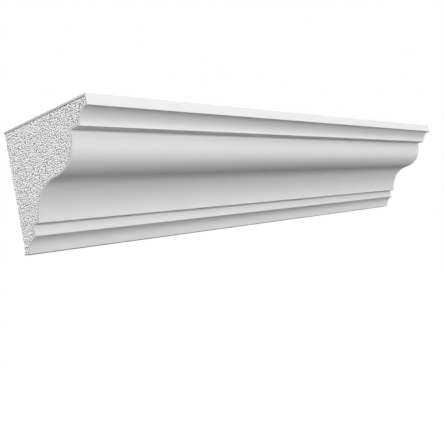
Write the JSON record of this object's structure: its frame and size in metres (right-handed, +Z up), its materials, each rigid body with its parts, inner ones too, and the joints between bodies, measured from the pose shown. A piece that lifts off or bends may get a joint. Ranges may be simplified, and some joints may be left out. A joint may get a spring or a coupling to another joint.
{
  "type": "cornice moulding",
  "caption": "Straight cornice moulding with fascia, cavetto, ogee and stepped foot: a profiled foam core with a hard white coat, cut square at both ends, fixed by its flat back.",
  "frame": {"origin": "middle of the flat back face, on the wall's plane, half way along the length and half way up", "axes": "+X along the moulding's length, +Y into the wall that it is fixed to, so the moulded front looks towards -Y, and +Z up"},
  "size_m": [2, 0.3, 0.3],
  "materials": {
    "foam": "matte, coarse beads on the cut faces",
    "coat": "matte, smooth fine-grained mineral coat"
  },
  "bodies": {
    "root": {"foam_core": "foam", "coat": "coat"}
  },
  "joints": []
}
